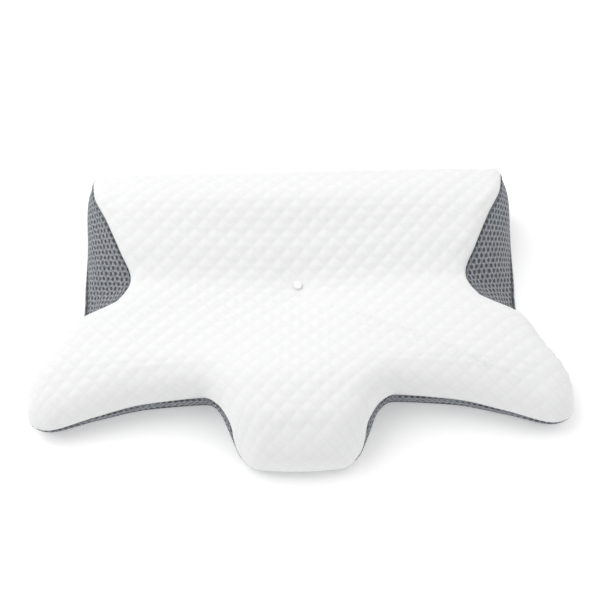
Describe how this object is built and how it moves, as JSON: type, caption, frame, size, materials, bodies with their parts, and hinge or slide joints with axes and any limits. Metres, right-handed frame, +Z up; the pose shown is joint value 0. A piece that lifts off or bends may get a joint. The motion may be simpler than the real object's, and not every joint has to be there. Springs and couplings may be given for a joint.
{
  "type": "contour bed pillow",
  "caption": "Butterfly-shaped contour pillow with side wings, a neck tongue, a head bowl and a zipped quilted cover with mesh sides.",
  "frame": {"origin": "on the surface the pillow lies on, under the middle of its overall box", "axes": "+X to the pillow's own left as a sleeper lies on it, +Y towards the straight back edge, -Y towards the neck tongue, +Z up"},
  "size_m": [0.6194, 0.3718, 0.113],
  "materials": {
    "memory_foam": "open-cell moulded memory foam, cream, matt",
    "liner_jersey": "thin white jersey",
    "quilted_knit": "white knit quilted in small diamonds",
    "air_mesh": "grey spacer mesh with round holes",
    "zipper_tape": "woven polyester tape",
    "zipper_coil": "nylon coil",
    "slider_metal": "satin grey die-cast slider and pull",
    "label_satin": "blank satin ribbon"
  },
  "bodies": {
    "pillow": {"foam_core": "memory_foam", "liner_lower": "liner_jersey", "liner_upper": "liner_jersey", "top_panel": "quilted_knit", "side_gusset_left": "air_mesh", "side_gusset_right": "air_mesh", "bottom_panel": "air_mesh", "zipper_tape_upper": "zipper_tape", "zipper_tape_lower": "zipper_tape", "zipper_coil_upper": "zipper_coil", "zipper_coil_lower": "zipper_coil", "zipper_end_left": "air_mesh", "zipper_end_right": "air_mesh", "care_label": "label_satin", "centre_tack": "quilted_knit"},
    "slider": {"zipper_slider": "slider_metal"},
    "pull": {"zipper_pull": "slider_metal"}
  },
  "joints": [
    {"name": "zipper_slide", "type": "slide", "parent": "pillow", "child": "slider", "axis": [-1, 0, 0], "range_m": [0, 0.388]},
    {"name": "pull_hinge", "type": "hinge", "parent": "slider", "child": "pull", "pos_m": [0.1942, 0.18411, 0.021], "axis": [0, 0, -1], "range_deg": [0, 180]}
  ]
}
